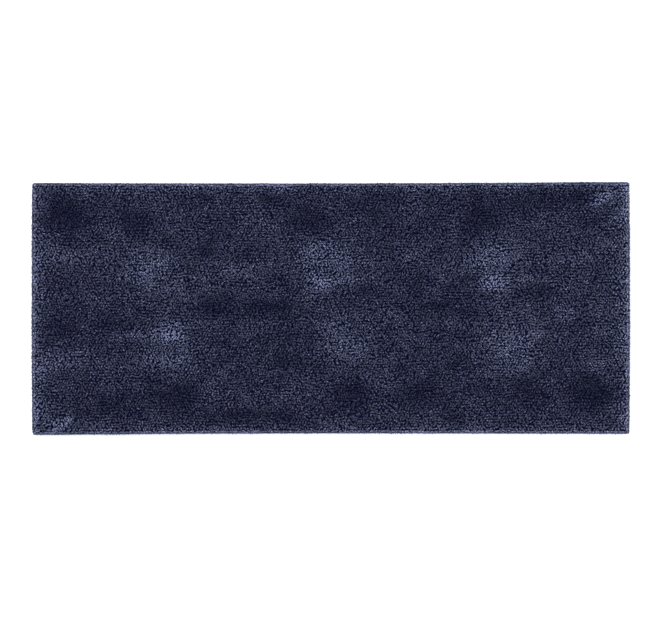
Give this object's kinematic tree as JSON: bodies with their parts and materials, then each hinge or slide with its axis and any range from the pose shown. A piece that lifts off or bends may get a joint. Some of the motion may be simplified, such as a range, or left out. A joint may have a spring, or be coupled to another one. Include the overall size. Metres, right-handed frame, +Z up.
{
  "type": "bath mat",
  "caption": "Long plush bath runner: cut pile on a woven base, with taped and stitched hems, a non-slip latex underside and a blank care label",
  "frame": {"origin": "on the floor, under the middle of the mat as it lies flat", "axes": "+X along the length to the right-hand end, +Y across the width to the back edge, +Z up out of the pile"},
  "size_m": [1.45, 0.61, 0.0204],
  "materials": {
    "pile_yarn": "plush cut-pile yarn, navy",
    "base_weave": "plain-woven carrier cloth, navy",
    "latex": "matt non-slip coat, slate blue",
    "hem_tape": "twill-woven hem tape, navy",
    "sewing_thread": "spun sewing thread, navy",
    "label_satin": "white woven satin, blank"
  },
  "bodies": {
    "root": {"pile": "pile_yarn", "base_cloth": "base_weave", "latex_coat": "latex", "care_label": "label_satin", "hem_tape_front": "hem_tape", "hem_tape_back": "hem_tape", "hem_tape_left": "hem_tape", "hem_tape_right": "hem_tape", "needle_thread_front": "sewing_thread", "needle_thread_back": "sewing_thread", "needle_thread_left": "sewing_thread", "needle_thread_right": "sewing_thread", "bobbin_thread_front": "sewing_thread", "bobbin_thread_back": "sewing_thread", "bobbin_thread_left": "sewing_thread", "bobbin_thread_right": "sewing_thread"}
  },
  "joints": []
}
